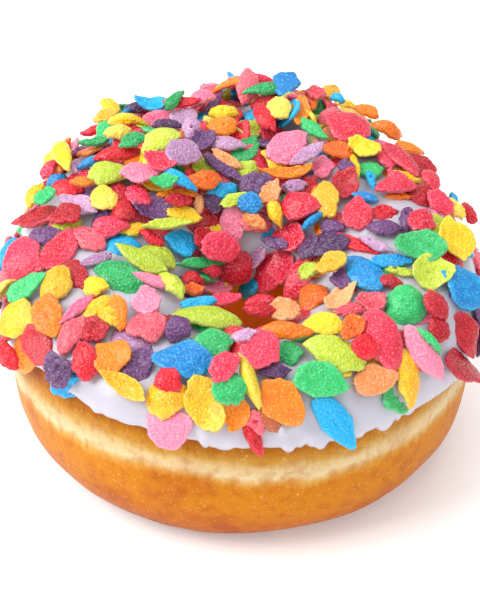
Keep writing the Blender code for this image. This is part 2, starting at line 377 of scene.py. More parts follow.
def torn(angle):
    """How far the torn nibs hang under the edge here."""
    drop = 0.0
    for centre, width, depth in NIBS:
        off = (angle - centre + math.pi) % math.tau - math.pi
        drop = max(drop, depth * max(0.0, 1 - (off / width) ** 2))
    drop -= EDGE_RISE * max(0.0, -math.sin(angle)) ** 1.5
    off_left = (angle - LEFT_TEAR + math.pi) % math.tau - math.pi
    drop -= EDGE_RISE_LEFT * math.exp(-(off_left / LEFT_TEAR_WIDTH) ** 2)
    return drop + 0.00030 * noise.noise(Vector((math.cos(angle), math.sin(angle), 0)) * 22)


print("icing edge over the band, mm:",
      [round(1000 * (icing_edge(math.radians(a)) - UNDERSIDE), 1) for a in range(-180, 180, 45)])

# %% [markdown]
# The icing
#
# It is a soft coat a little over two millimetres thick, with a rounded lip. It is a spun ring too: its upper
# half turn runs over the crest on the dough's own shape, lifted by the thickness, and its lower half turn
# lies inside the dough, where it isn't seen. Low waves and dents keep it from looking moulded.

# %% Icing
BARE_NOTCH = 0.30  # how much further round the section the dough is bare on the hole's front side
HIDDEN_LIFT = -0.0006  # the lower half lies this far inside the dough
LIP_POWER = 9  # the higher, the tighter the lip is rounded
LIP_TUCK, LIP_TUCK_POWER = 0.0006, 60


def icing_place(angle, turn):
    outside, inside = icing_limits(angle)
    outside = turn_at_height(angle, icing_edge(angle) - torn(angle))
    inside -= BARE_NOTCH * max(0.0, math.cos(angle + math.radians(80))) ** 8
    share = abs(turn) / math.pi
    place = outside + (inside - outside) * share
    edge = abs(2 * share - 1)
    if turn < 0:
        return on_dough(angle, place, HIDDEN_LIFT)[0]
    point, facing = on_dough(angle, place)
    soft = 0.00042 * noise.noise(point * 95) + 0.00026 * noise.noise(point * 240)
    lift = (ICING + GAP + soft) * math.sqrt(1 - edge**LIP_POWER) - LIP_TUCK * edge**LIP_TUCK_POWER
    return point + facing * lift


icing, _ = spun_ring("icing_coat", ring_steps=640, section_steps=84, place=icing_place)

# %% [markdown]
# Curls in the icing
#
# Where the dipped doughnut was lifted off, the icing drew out into short tips that folded over. Each tip is
# pulled out of the finished coat with a soft falloff, so that it stays one skin with it and has no seam.

# %% Pulling up the curls
CURLS = [  # picture x and y, height and size in millimetres
    (285, 432, 1.5, 1.45), (299, 424, 0.7, 2.4), (205, 436, 0.6, 2.2), (311, 437, 0.6, 1.8),
    (238, 444, 0.5, 2.0),
]
CURL_BEND = Vector((-0.2, -0.4, -0.35))  # how a tip leans over, as a share of its height
CURL_SEARCH = 4  # the tip is the nearest point of the coat within this many pixels
CURL_REACH, CURL_FALL = 2.2, 1.4


def raise_curl(piece, x, y, height, size):
    """Pulls out a small peak of icing where it is seen, and leans its tip down towards the front."""
    points = np.array([vertex.co for vertex in piece.data.vertices])
    at_x, at_y, far = seen_at(points - np.array(TO_FRAME))
    close = np.hypot(at_x - x, at_y - y) < CURL_SEARCH
    nearest = np.flatnonzero(close)[far[close].argmin()]
    middle = piece.data.vertices[nearest]
    pull = (middle.normal * height + CURL_BEND * height) * MM
    away = np.linalg.norm(points - points[nearest], axis=1) / (size * MM)
    for index in np.flatnonzero(away < CURL_REACH):
        share = math.exp(-away[index] ** 2 * CURL_FALL)
        vertex = piece.data.vertices[index]
        vertex.co += middle.normal * height * MM * share + (pull - middle.normal * height * MM) * share**3


for curl in CURLS:
    raise_curl(icing, *curl)
print("curls in the icing:", len(CURLS))

# %% [markdown]
# Where the flakes land
#
# Puffed rice flakes fall on the wet icing, lean on each other and stick. The bed is a net of small cells over
# the icing. Each flake lands round one cell, leans on what is already under it, and raises the cells it
# covers, so later flakes lie on top of earlier ones. The first flakes are the CAD model's own, made again
# with the same rule and the same seed, and smaller ones then fill the gaps.

# %% The bed
FLAKES = 150
LONGEST, SHORTEST = 0.0124, 0.0084
NARROWEST, WIDEST = 0.56, 0.80
THICKNESS = 0.0017
SINK = 0.0006
PILE_FRONT, PILE_BACK = 0.0015, 0.0100
BARE_FRONT = 0.0100
FREE_HOLE = 0.0052
BED_ANGLES = 150
BED_STEPS = 44
BACK_FAVOUR = 0.6  # how much more often a flake tries the back than the sides
TRIES = 14
PILE_COST = 2.5
RESTS_ON = 0.86  # a flake rests on the cell that stands higher than this share of those under it
FLAKE_SEED = 84


def bed_row(angle, outside, inside, steps):
    """Cells across the icing at one angle, from one turn round the section to another."""
    cells = []
    for j in range(steps):
        turn = outside + (inside - outside) * (j + 0.5) / steps
        place, up = on_dough(angle, turn, GAP + ICING)
        before, after = (on_dough(angle, turn + step / BED_STEPS, GAP + ICING)[0] for step in (-1, 1))
        back = math.sin(angle)
        cells.append({
            "place": place,
            "up": up,
            "area": (after - before).length * math.hypot(place.x, place.y) * (1 + BACK_FAVOUR * back),
            "heap": PILE_FRONT + (PILE_BACK - PILE_FRONT) * max(0.0, back),
            "height": 0.0,
        })
    return cells


def bare_turn(angle):
    """Where round the section the flakes stop: in the front they leave a strip of icing bare."""
    bare = BARE_FRONT * max(0.0, -math.sin(angle)) ** 2
    return turn_at_height(angle, icing_edge(angle) + bare)


bed_angles = [math.tau * i / BED_ANGLES for i in range(BED_ANGLES)]
bed = []
for angle in bed_angles:
    bed += bed_row(angle, bare_turn(angle), icing_limits(angle)[1], BED_STEPS)
print("cells in the bed:", len(bed))

# %% One flake's size, tilt and bends


def new_flake(length, width, draw):
    return {
        "length": length,
        "width": width,
        "spin": draw.uniform(0, math.tau),
        "tip": math.radians(draw.choice((0, 6, 12, 20, 32, 48)) * draw.uniform(0.6, 1.2)),
        "tip_way": draw.uniform(0, math.tau),
        "taper": draw.uniform(0.0, 0.42),
        "curl": draw.uniform(-0.12, 0.36),
        "twist": draw.uniform(-0.35, 0.35),
        "lobes": [draw.uniform(0, math.tau) for _ in range(3)],
    }


# %% Landing one flake


def tree_of(bed):
    """Finds the cells near a place quickly."""
    near = kdtree.KDTree(len(bed))
    for index, cell in enumerate(bed):
        near.insert(cell["place"], index)
    near.balance()
    return near


def land(flake, centre, bed, near):
    """Lays a flake on the bed round one cell: it leans on what lies there, and the bed rises under it."""
    up = centre["up"]
    along = up.orthogonal().normalized()
    along.rotate(Matrix.Rotation(flake["spin"], 3, up))
    across = up.cross(along)
    half_length, half_width = flake["length"] / 2, flake["width"] / 2
    under = []
    for _, index, _ in near.find_range(centre["place"], half_length):
        cell = bed[index]
        top = cell["place"] + cell["up"] * cell["height"] - centre["place"]
        u, v, w = top.dot(along), top.dot(across), top.dot(up)
        if (u / half_length) ** 2 + (v / half_width) ** 2 <= 1:
            under.append((u, v, w, cell))
    count = len(under)
    rest = sum(w for _, _, w, _ in under) / count
    lean_along = sum(u * (w - rest) for u, _, w, _ in under) / (sum(u * u for u, _, _, _ in under) + 1e-9)
    lean_across = sum(v * (w - rest) for _, v, w, _ in under) / (sum(v * v for _, v, _, _ in under) + 1e-9)
    lean_along += math.tan(flake["tip"]) * math.cos(flake["tip_way"])
    lean_across += math.tan(flake["tip"]) * math.sin(flake["tip_way"])
    if "facing" in flake:
        seen = flake["facing"]
        lean_along, lean_across = (-seen.dot(axis) / seen.dot(up) for axis in (along, across))
    proud = sorted(w - lean_along * u - lean_across * v for u, v, w, _ in under)
    level = proud[int(flake.get("rests_on", RESTS_ON) * (count - 1))] - SINK + THICKNESS / 2
    if "facing" in flake:
        level = min(level, centre["height"] + PROUDEST)
    facing = (up - along * lean_along - across * lean_across).normalized()
    along = (along - facing * along.dot(facing)).normalized()
    flake["frame"] = Matrix((along, facing.cross(along), facing)).transposed().to_4x4()
    flake["frame"].translation = centre["place"] + up * level
    for u, v, w, cell in under:
        top = level + lean_along * u + lean_across * v + THICKNESS / 2
        cell["height"] += max(0.0, top - w)
    return flake


# %% Scattering the flakes


def scatter(count, longest, shortest, bed, landed, draw):
    """Drops this many flakes on the bed, largest first. Each tries several places and takes the one
    where the flakes lie lowest and that is furthest from those already down."""
    near = tree_of(bed)
    areas = [cell["area"] for cell in bed]
    for number in range(count):
        length = longest + (shortest - longest) * number / max(1, count - 1)
        flake = new_flake(length, length * draw.uniform(NARROWEST, WIDEST), draw)

        def merit(index):
            cell = bed[index]
            apart = min((cell["place"] - other["frame"].translation).length for other in landed)
            return min(apart, length) - PILE_COST * max(0.0, cell["height"] - cell["heap"])

        tries = draw.choices(range(len(bed)), areas, k=TRIES)
        best = max(tries, key=merit) if landed else tries[0]
        landed.append(land(flake, bed[best], bed, near))
    return landed


landed = scatter(FLAKES, LONGEST, SHORTEST, bed, [], random.Random(FLAKE_SEED))
print("flakes of the CAD model:", len(landed), "highest:",
      round(1000 * max(flake["frame"].translation.z for flake in landed), 1), "mm")

# %% [markdown]
# The second layer
#
# More flakes lie on the first ones, most of them at the back, where the crust is deepest. Each new flake
# looks at a few dozen places and takes the one where the crust is furthest below the depth it should have.

# %% Filling up to an even depth
FILL = 170
FILL_LONGEST, FILL_SHORTEST = 0.0098, 0.0056
FILL_TRIES = 40
FILL_TIP = 0.6  # they lie flatter than the first ones
DEPTH_FRONT, DEPTH_SIDE, DEPTH_BACK = 0.0010, 0.0026, 0.0062
HOLE_CLEAR = 0.0115  # few fall this near the hole's axis, where the wall shows its own flakes
NO_DEPTH = -0.010


def wanted_depth(cell):
    """How deep the crust should be over the icing before the flakes that show are laid."""
    if math.hypot(cell["place"].x - HOLE_RIGHT, cell["place"].y + HOLE_FRONT) < HOLE_CLEAR:
        return NO_DEPTH
    back = cell["place"].y / math.hypot(cell["place"].x, cell["place"].y)
    end = DEPTH_BACK if back > 0 else DEPTH_FRONT
    return DEPTH_SIDE + (end - DEPTH_SIDE) * abs(back)


def fill(count, bed, landed, draw):
    near = tree_of(bed)
    wants = [wanted_depth(cell) for cell in bed]
    areas = [cell["area"] for cell in bed]
    for number in range(count):
        length = FILL_LONGEST + (FILL_SHORTEST - FILL_LONGEST) * number / count
        tries = draw.choices(range(len(bed)), areas, k=FILL_TRIES)
        best = max(tries, key=lambda index: wants[index] - bed[index]["height"])
        flake = new_flake(length, length * draw.uniform(NARROWEST, WIDEST), draw)
        flake["tip"] *= FILL_TIP
        landed.append(land(flake, bed[best], bed, near))
    return landed


landed = fill(FILL, bed, landed, random.Random(31))
print("flakes after filling:", len(landed), "highest:",
      round(1000 * max(flake["frame"].translation.z for flake in landed), 1), "mm")

# %% [markdown]
# The flakes that show
#
# The eye knows this doughnut by its topmost flakes, so those are laid one by one from a list. Each row says
# where a flake's middle is seen in the photograph, in pixels, how long and how wide it is, in millimetres,
# and how far its long side turns from the horizontal, in degrees. It lands on whatever lies there, so it also
# sits right when seen from the side. The ones furthest above or below the hole in the picture land first, and
# the others overlap them.

# %% The flakes that show, by colour
SEEN = {
    "cherry": [
        (92, 130, 5.4, 4.2, 20), (119, 152, 10.0, 4.2, 4), (182, 102, 8.0, 2.8, 3),
        (119, 192, 5.4, 3.4, -65), (179, 200, 6.0, 3.0, 0), (68, 189, 7.4, 5.0, -10),
        (125, 209, 6.5, 5.5, 30), (265, 115, 9.4, 4.4, -65), (344, 185, 7.4, 6.8, 50),
        (422, 164, 8.0, 6.0, -40), (419, 195, 6.0, 5.2, 0), (470, 212, 5.6, 3.6, -70),
        (382, 214, 7.0, 4.4, 0), (37, 217, 12.0, 6.0, 8), (66, 214, 6.8, 6.0, 30),
        (75, 275, 7.5, 5.6, -60), (152, 238, 6.4, 2.4, -35), (204, 238, 6.0, 4.6, 0),
        (193, 278, 5.4, 3.6, 0), (93, 330, 6.4, 5.4, 10), (85, 361, 8.0, 5.8, -80),
        (168, 380, 6.2, 5.0, -60), (253, 438, 8.6, 2.8, -62), (260, 309, 6.4, 3.6, -10),
        (355, 244, 12.0, 3.2, -30), (391, 282, 6.0, 3.4, -20), (437, 304, 7.0, 5.0, -70),
        (440, 329, 5.6, 5.0, -60), (466, 334, 9.4, 7.6, -70), (367, 346, 6.4, 5.6, 0),
        (38, 345, 9.5, 7.0, -60), (6, 355, 7.6, 4.6, -50),
    ],
    "rose": [
        (158, 159, 7.3, 4.5, -25), (234, 85, 5.5, 4.5, 30), (138, 196, 6.2, 5.0, -25),
        (258, 79, 9.6, 2.6, -8), (347, 123, 13.0, 9.0, -45), (298, 205, 9.0, 7.0, 0),
        (401, 158, 13.0, 5.0, -50), (385, 156, 9.0, 4.0, -75), (395, 185, 8.6, 4.4, 0),
        (431, 179, 6.0, 4.4, -70), (440, 202, 6.8, 5.6, -40), (357, 214, 8.6, 6.5, 80),
        (421, 221, 6.6, 5.6, -30), (21, 258, 11.0, 8.6, 60), (57, 253, 12.0, 6.4, 50),
        (110, 226, 9.0, 4.6, 10), (220, 247, 9.6, 6.4, 0), (213, 270, 5.4, 3.2, 10),
        (290, 237, 8.8, 6.8, 0), (269, 266, 11.6, 10.0, 60), (261, 300, 6.0, 4.2, 0),
        (226, 299, 7.4, 3.0, 10), (224, 366, 7.0, 5.4, 40), (259, 348, 9.4, 8.4, -40),
        (382, 338, 14.5, 8.0, -75), (48, 169, 5.0, 3.6, 60), (237, 270, 9.0, 6.4, 60),
        (283, 268, 10.0, 6.0, -80),
    ],
    "salmon": [
        (89, 237, 8.4, 5.4, -40), (147, 325, 8.4, 8.0, -70), (350, 310, 6.0, 3.2, 10),
        (372, 302, 6.0, 5.0, 0), (71, 335, 9.0, 5.0, 60), (316, 92, 5.0, 4.4, 0),
        (255, 422, 5.0, 4.0, -70), (330, 118, 7.0, 5.0, 60),
    ],
    "light_pink": [
        (142, 172, 9.3, 5.0, 5), (202, 96, 5.5, 3.6, 0), (287, 146, 10.0, 7.5, 30),
        (323, 167, 5.8, 5.0, 70), (147, 301, 7.2, 5.8, -80), (76, 310, 8.4, 2.8, 42),
        (216, 286, 7.8, 4.4, 20), (424, 352, 13.6, 5.4, -55), (169, 428, 9.6, 8.6, -60),
        (156, 281, 10.6, 2.8, -20),
    ],
    "orange": [
        (223, 126, 7.0, 4.5, 0), (179, 194, 9.0, 2.2, 3), (83, 182, 5.0, 2.6, -8),
        (301, 109, 8.6, 4.2, 85), (369, 109, 5.6, 3.8, -40), (388, 127, 8.0, 4.8, -15),
        (411, 147, 7.0, 3.0, -20), (338, 150, 7.0, 4.5, -30), (290, 173, 10.6, 2.8, 3),
        (47, 315, 9.4, 7.0, -70), (118, 312, 9.0, 3.8, -80), (193, 290, 4.6, 3.6, 0),
        (313, 296, 7.6, 6.6, 45), (287, 330, 10.4, 4.0, -5), (352, 328, 6.4, 4.2, 45),
        (282, 402, 10.4, 8.6, -55), (236, 412, 8.4, 5.0, 80), (112, 356, 7.8, 7.6, -30),
        (398, 197, 5.6, 2.0, -3), (204, 180, 7.7, 4.8, 0),
    ],
    "peach": [
        (199, 205, 5.4, 2.4, 80), (226, 159, 8.0, 2.4, -35), (270, 192, 6.4, 4.0, 50),
        (254, 220, 6.4, 3.2, -45), (340, 299, 9.0, 4.6, 40), (374, 380, 9.8, 6.0, 5),
        (284, 310, 7.4, 5.2, -10),
    ],
    "yellow": [
        (127, 119, 9.0, 3.2, -10), (106, 115, 6.6, 5.5, 20), (223, 112, 6.8, 3.6, 5),
        (155, 186, 7.4, 2.6, -18), (62, 153, 12.3, 4.0, -65), (31, 193, 7.0, 3.5, 65),
        (331, 90, 7.2, 4.8, 80), (349, 89, 6.0, 2.6, -30), (365, 147, 7.8, 4.6, -20),
        (326, 199, 8.8, 6.0, -80), (355, 166, 8.4, 2.0, -85), (405, 176, 7.4, 2.0, -20),
        (274, 211, 7.6, 3.0, -75), (456, 240, 10.4, 8.0, -80), (332, 262, 7.4, 4.6, 30),
        (324, 324, 8.0, 5.8, 0), (55, 285, 10.6, 6.4, 65), (17, 319, 9.6, 8.6, 0),
        (96, 309, 7.6, 3.8, 45), (110, 316, 6.0, 4.0, -50), (95, 286, 5.4, 4.6, 0),
        (133, 229, 5.6, 3.0, 10), (184, 215, 7.4, 4.2, -15), (126, 386, 10.0, 4.4, -32),
        (166, 398, 8.8, 7.8, 10), (205, 404, 11.2, 7.8, -65), (409, 376, 13.0, 4.8, -85),
    ],
    "lemon": [
        (118, 131, 6.6, 3.5, 0), (104, 198, 6.8, 6.2, -40), (279, 107, 6.4, 5.8, -50),
        (456, 208, 5.6, 3.4, -60), (250, 380, 12.0, 3.0, -72),
    ],
    "lime": [
        (107, 172, 8.2, 6.0, 5), (161, 138, 9.3, 6.5, 30), (233, 200, 6.0, 3.0, 20),
        (141, 258, 11.6, 5.0, -35), (159, 255, 8.0, 6.0, -30), (167, 224, 10.8, 2.4, 5),
        (173, 283, 8.0, 3.6, -50), (205, 316, 13.4, 6.0, -8), (309, 270, 5.0, 4.0, 0),
        (401, 272, 6.0, 2.0, -15), (432, 272, 9.0, 8.6, 0), (336, 353, 13.0, 7.2, -20),
    ],
    "green": [
        (94, 142, 7.0, 2.0, 0), (132, 140, 6.5, 3.4, 25), (171, 91, 6.8, 2.6, 45),
        (164, 181, 5.5, 3.5, 0), (42, 195, 5.0, 4.0, 40), (264, 89, 9.2, 3.4, 5),
        (313, 129, 7.6, 3.4, -45), (26, 287, 8.8, 5.0, 30), (121, 278, 11.0, 8.0, -30),
        (202, 263, 14.6, 2.4, 5), (207, 278, 6.4, 2.2, 0), (421, 246, 11.0, 7.6, 0),
        (407, 305, 10.4, 8.6, 20), (431, 340, 6.8, 1.8, -50), (320, 380, 10.4, 7.8, -15),
        (289, 353, 5.6, 5.0, 0), (214, 343, 8.8, 6.8, 10), (229, 387, 8.0, 6.6, -70),
    ],
    "blue": [
        (93, 161, 6.6, 3.0, 10), (153, 104, 8.0, 4.4, -15), (181, 179, 8.8, 2.6, -38),
        (56, 179, 4.4, 3.6, 20), (222, 190, 7.4, 3.2, 5), (286, 80, 7.4, 6.5, 70),
        (371, 179, 6.0, 1.8, -75), (455, 198, 3.6, 2.0, -75), (365, 197, 5.4, 2.4, -20),
        (311, 221, 5.6, 1.8, 40), (339, 97, 3.6, 2.2, -40), (7, 253, 8.0, 4.0, 75),
        (122, 246, 8.4, 5.6, 10), (182, 243, 7.8, 6.0, 0), (197, 303, 7.6, 3.0, 10),
        (250, 203, 5.6, 4.6, 0), (364, 272, 13.0, 6.4, -50), (391, 261, 9.0, 3.2, -5),
        (465, 286, 12.0, 8.4, -40), (249, 286, 7.0, 4.6, 20), (184, 359, 12.0, 8.2, -5),
        (335, 421, 12.6, 6.4, -50),
    ],
    "purple": [
        (166, 119, 6.2, 2.6, -5), (136, 107, 5.5, 3.0, -15), (214, 103, 7.0, 2.0, 50),
        (204, 140, 5.5, 5.0, 0), (214, 203, 5.2, 4.4, -10), (153, 209, 8.3, 5.5, 5),
        (222, 167, 10.0, 2.8, -40), (256, 185, 7.8, 5.6, 5), (346, 166, 3.6, 3.4, 0),
        (407, 217, 6.8, 3.2, 75), (332, 227, 5.6, 3.4, 0), (327, 244, 9.0, 6.2, 10),
        (309, 247, 5.8, 4.4, 60), (385, 227, 7.6, 4.0, -10), (44, 235, 7.4, 4.0, 0),
        (276, 243, 6.6, 2.6, -25), (344, 279, 5.6, 5.6, 0), (178, 327, 6.0, 5.4, 40),
        (139, 364, 8.2, 6.0, 50), (57, 370, 8.0, 6.0, -70), (274, 370, 6.4, 3.6, 0),
    ],
    "mauve": [
        (182, 150, 7.7, 7.0, -30), (191, 126, 6.2, 3.6, 65), (226, 143, 7.7, 3.8, -5),
        (79, 204, 9.4, 4.4, -30), (308, 153, 9.0, 3.2, 35), (294, 186, 5.4, 3.4, 0),
        (375, 244, 7.6, 2.2, -30), (256, 260, 8.0, 3.0, 40), (95, 260, 7.8, 2.4, 20),
        (244, 335, 5.0, 3.0, 10),
    ],
    "russet": [
        # one dark reddish-brown flake, laid in the dark reddish-brown patch under the orange flake at the
        # front
        (270, 418, 6.4, 4.8, -62),
    ],
}
print("flakes laid by hand:", sum(len(rows) for rows in SEEN.values()))

# %% Laying them
CROSSOVER = 330  # picture y of the hole
TOWARDS_CAMERA, TOWARDS_SPREAD = 0.35, 0.15  # a flake that shows is turned this far towards the camera
FAR_PULL = 0.3  # pixels that a millimetre nearer the camera is worth when the cell is chosen
EDGE_ON = -0.1  # cells that face further away than this aren't seen
UNSEEN = 1e6
PROUDEST = 0.0025  # the most that a flake stands over the cell it was laid on
SEEN_RESTS_ON = 0.7
CURL_CHOICE = (1, 1, 1, 1.7, -1.5)
CENTRING_ROUNDS = 2
STEEPEST = 0.35  # where the crust is seen at a flatter angle than this sine, it is taken to be this
STRIP_STEPS = 10


def lay_seen(rows, bed, landed, draw):
    """Lays each flake on the bed where it is seen in the picture, its long side turned as it is seen."""
    near = tree_of(bed)
    places = np.array([cell["place"] for cell in bed])
    ups = np.array([cell["up"] for cell in bed])
    visible = ups @ np.array(TO_CAMERA) > EDGE_ON
    for kind, x, y, length, width, turn in rows:
        tops = places + ups * (np.array([cell["height"] for cell in bed]) + THICKNESS / 2)[:, None]
        at_x, at_y, far = seen_at(tops)
        miss = np.hypot(at_x - x, at_y - y) + FAR_PULL * far / MM + UNSEEN * ~visible
        cell = bed[int(miss.argmin())]
        up = cell["up"]
        spread = draw.uniform(-TOWARDS_SPREAD, TOWARDS_SPREAD)
        facing = up.lerp(TO_CAMERA, TOWARDS_CAMERA + spread).normalized()
        slant = math.radians(turn) - ROLL
        seen_along = Vector((math.cos(slant), 0, 0)) + PICTURE_UP * math.sin(slant)
        along = seen_along - TO_CAMERA * (seen_along.dot(facing) / TO_CAMERA.dot(facing))
        start = up.orthogonal().normalized()
        flake = new_flake(length * MM, width * MM, draw)
        flake["spin"] = math.atan2(along.dot(up.cross(start)), along.dot(start))
        flake["curl"] *= draw.choice(CURL_CHOICE)
        flake["facing"] = facing
        flake["rests_on"] = SEEN_RESTS_ON
        flake["kind"] = kind
        land(flake, cell, bed, near)
        for _ in range(CENTRING_ROUNDS):
            now_x, now_y, _ = (float(v[0]) for v in seen_at([flake["frame"].translation]))
            aside = (Vector((x - now_x, 0, 0)) + PICTURE_UP * (now_y - y)) / PIXELS_PER_METRE
            slide = aside.dot(up) / max(STEEPEST, TO_CAMERA.dot(up))
            flake["frame"].translation += aside - TO_CAMERA * slide
        landed.append(flake)
    return landed


for angle in bed_angles:
    if bare_turn(angle) > icing_limits(angle)[0]:
        bed += bed_row(angle, icing_limits(angle)[0], bare_turn(angle), STRIP_STEPS)
rows = [(kind, *row) for kind, kind_rows in SEEN.items() for row in kind_rows]
rows.sort(key=lambda row: -abs(row[2] - CROSSOVER))
landed = lay_seen(rows, bed, landed, random.Random(8))
print("flakes:", len(landed), "highest:",
      round(1000 * max(flake["frame"].translation.z for flake in landed), 1), "mm")

# %% [markdown]
# The shape of one flake
#
# A flake is a rice grain that was rolled flat and puffed in a hot oven. Its outline is a rough leaf or oval,
# its edge is ragged, it curls as it dries, and its skin is all small blisters with a burst bubble here and
# there. A ball is the nearest simple shape: squashed to a plate, bent, twisted and roughened, it stays closed
# all round.

# %% Flake outline and curl
RAGGED_WIDE, RAGGED_FINE = 0.00050, 0.00030  # how far the edge strays
HALF_PLATE = 0.42  # half the thickness of a flake's middle, as a share of THICKNESS
BLISTER_WIDE, BLISTER_FINE = 0.00022, 0.00016
CRATER_LIP, CRATER_DEPTH = 0.00025, 0.00060
CURL_MIDDLE = 0.35  # a curled flake's middle rises by this share of its bend, and its tips sink by the rest


def flake_outline(flake, around):
    first, second, third = flake["lobes"]
    wave = 0.07 * math.cos(2 * around + first) + 0.06 * math.cos(3 * around + second)
    return 1 + wave + 0.04 * math.cos(5 * around + third)


def flake_point(flake, x, y, z):
    """Where a point of a ball of radius 1 goes on this flake."""
    rim = math.hypot(x, y)
    around = math.atan2(y, x)
    seed = flake["grain"]
    half_length, half_width = flake["length"] / 2, flake["width"] / 2
    ragged = RAGGED_WIDE * noise.noise(Vector((math.cos(around) * 3.1, math.sin(around) * 3.1, 0)) + seed)
    ragged += RAGGED_FINE * noise.noise(Vector((math.cos(around) * 7.5, math.sin(around) * 7.5, 4)) + seed)
    reach = rim * (flake_outline(flake, around) + 2 * ragged / (half_length + half_width) * rim**3)
    u = reach * math.cos(around)
    v = reach * math.sin(around) * (1 - flake["taper"] * u * u)
    flat = Vector((u * half_length, v * half_width, 0.0006 if z > 0 else -0.0006)) * 1000
    blister = noise.noise(flat * 0.95 + seed) * BLISTER_WIDE + noise.noise(flat * 2.0 + seed) * BLISTER_FINE
    w = signed_power(z, 0.5) * (HALF_PLATE * THICKNESS + blister * flake["puff"])
    for crater_u, crater_v, size, side in flake["craters"]:
        away = math.hypot(u * half_length - crater_u, v * half_width - crater_v) / size
        if away < 2 and z * side > 0:
            lip = CRATER_LIP * math.exp(-(((away - 1) / 0.35) ** 2))
            w += side * (lip - CRATER_DEPTH * math.exp(-((away / 0.6) ** 2)))
    w -= flake["curl"] * half_length * (u * u + 0.5 * v * v - CURL_MIDDLE)
    turned = flake["twist"] * u
    across = v * half_width
    local = Vector((u * half_length, across * math.cos(turned), w + across * math.sin(turned)))
    return flake["frame"] @ local


# %% [markdown]
# A tidy crust
#
# On the real doughnut a few flakes slid aside, because there was no room for them. Here the same is done by
# rule: the hole stays free, no flake sticks out more than a little past the CAD model's box, and one that
# lies under a listed flake is pressed down. A few points all over a flake's middle plane tell where it
# is.

# %% Keeping the hole free and the crust within its size
BARE_SPOT = (255, 319)  # where the dough inside the hole is seen, and half its width and height in pixels
BARE_WIDE, BARE_TALL = 20, 10
MOVE_TRIES = 10
OUT_STEP = 1.4  # a flake goes out from the hole's axis by this many times what it lacks
SPARE = 0.022  # share of each side by which the crust may pass the CAD model's box
PROBE_WAYS, PROBE_REACH = 16, (0.05, 0.5, 1)
sides = Vector(CAD_BOX[1]) - Vector(CAD_BOX[0])
LOW_CORNER = Vector(CAD_BOX[0]) - sides * SPARE - TO_FRAME
HIGH_CORNER = Vector(CAD_BOX[1]) + sides * SPARE - TO_FRAME


def probe(flake):
    """Points all over a flake's middle plane."""
    ways = [math.tau * k / PROBE_WAYS for k in range(PROBE_WAYS)]
    return [flake_point(flake, r * math.cos(way), r * math.sin(way), 0) for way in ways for r in PROBE_REACH]


def clear_of_hole(flake):
    """Moves a flake straight out from the hole's axis until none of it is inside the free radius. A listed
    flake that lies behind the hole goes back along the view, so that it is still seen in the same place."""
    axis = Vector((HOLE_RIGHT, -HOLE_FRONT, 0))
    for _ in range(MOVE_TRIES):
        away = flake["frame"].translation - axis
        short = FREE_HOLE - min((point - axis).xy.length for point in probe(flake))
        if short <= 0:
            break
        if "facing" in flake and away.y > 0:
            flake["frame"].translation -= TO_CAMERA * MM
        else:
            flake["frame"].translation += Vector((away.x, away.y, 0)).normalized() * short * OUT_STEP


def keep_in_box(flake):
    """Presses a flake back along the view where it is too high, and inwards where it sticks out."""
    above = max(point.z for point in probe(flake)) + THICKNESS / 2 - HIGH_CORNER.z
    if above > 0:
        flake["frame"].translation -= TO_CAMERA * (above / TO_CAMERA.z)
    points = probe(flake)
    for axis in (0, 1):
        past = max(point[axis] for point in points) + THICKNESS / 2 - HIGH_CORNER[axis]
        short = LOW_CORNER[axis] - min(point[axis] for point in points) + THICKNESS / 2
        flake["frame"].translation[axis] += max(0.0, short) - max(0.0, past)


# %% Making room for the flakes that show
UNDER_REACH = 0.011  # flakes whose middles are further apart than this can't touch
POKE_LOW, POKE_HIGH = -0.001, 0.006  # a point pokes through where it is this far over the upper flake
POKE_CLEAR = 0.8  # and goes this many thicknesses under it
POKE_MOST = 0.0035
SPOT_TRIES, SPOT_STEP = 6, 0.8


def press_under(flake, top):
    """Presses a flake down where it pokes through a listed flake that was laid on it."""
    if (flake["frame"].translation - top["frame"].translation).length > UNDER_REACH:
        return
    into = top["frame"].inverted()
    poke = 0.0
    for point in probe(flake):
        u, v, w = into @ point
        inside = (u / top["length"]) ** 2 + (v / top["width"]) ** 2 < 0.25
        if inside and POKE_LOW < w < POKE_HIGH:
            poke = max(poke, w + POKE_CLEAR * THICKNESS)
    flake["frame"].translation -= top["frame"].col[2].xyz * min(poke, POKE_MOST)


def clear_of_spot(flake):
    """Slides a flake level, away from the spot where the hole's bare dough is seen in the picture."""
    for _ in range(SPOT_TRIES):
        x, y, _ = seen_at(probe(flake))
        inside = ((x - BARE_SPOT[0]) / BARE_WIDE) ** 2 + ((y - BARE_SPOT[1]) / BARE_TALL) ** 2 < 1
        if inside.any():
            away = Vector((x.mean() - BARE_SPOT[0], (BARE_SPOT[1] - y.mean()) / TO_CAMERA.z, 0))
            flake["frame"].translation += away.normalized() * SPOT_STEP * MM


# %% [markdown]
# Nothing hangs in the air
#
# A flake sticks to the icing, or to a flake that does. One that was laid where the picture shows it can still
# hang a little over the crust. So the flakes that touch are found first, from the icing outwards. Each other
# one slides back along the view, where its place in the picture stays the same, until it touches one of them.

# %% Settling
TOUCH = 0.0019  # two flakes' middle planes are no further apart than this where they touch
SETTLE_ROUNDS = 3
SETTLE_STEPS = 17
STEPS_PER_TOUCH = 4
NEAREST_POINTS = 60
TOUCH_SHARE = 0.6  # a flake that goes straight to another stops this share of TOUCH from it


def tree_and_owners(flakes, bed):
    """A search tree over the icing and all flakes, and whose each of its points is; the icing is -1."""
    points = [(cell["place"], -1) for cell in bed]
    points += [(point, number) for number, flake in enumerate(flakes) for point in probe(flake)]
    tree = kdtree.KDTree(len(points))
    for index, (point, _) in enumerate(points):
        tree.insert(point, index)
    tree.balance()
    return tree, [owner for _, owner in points]


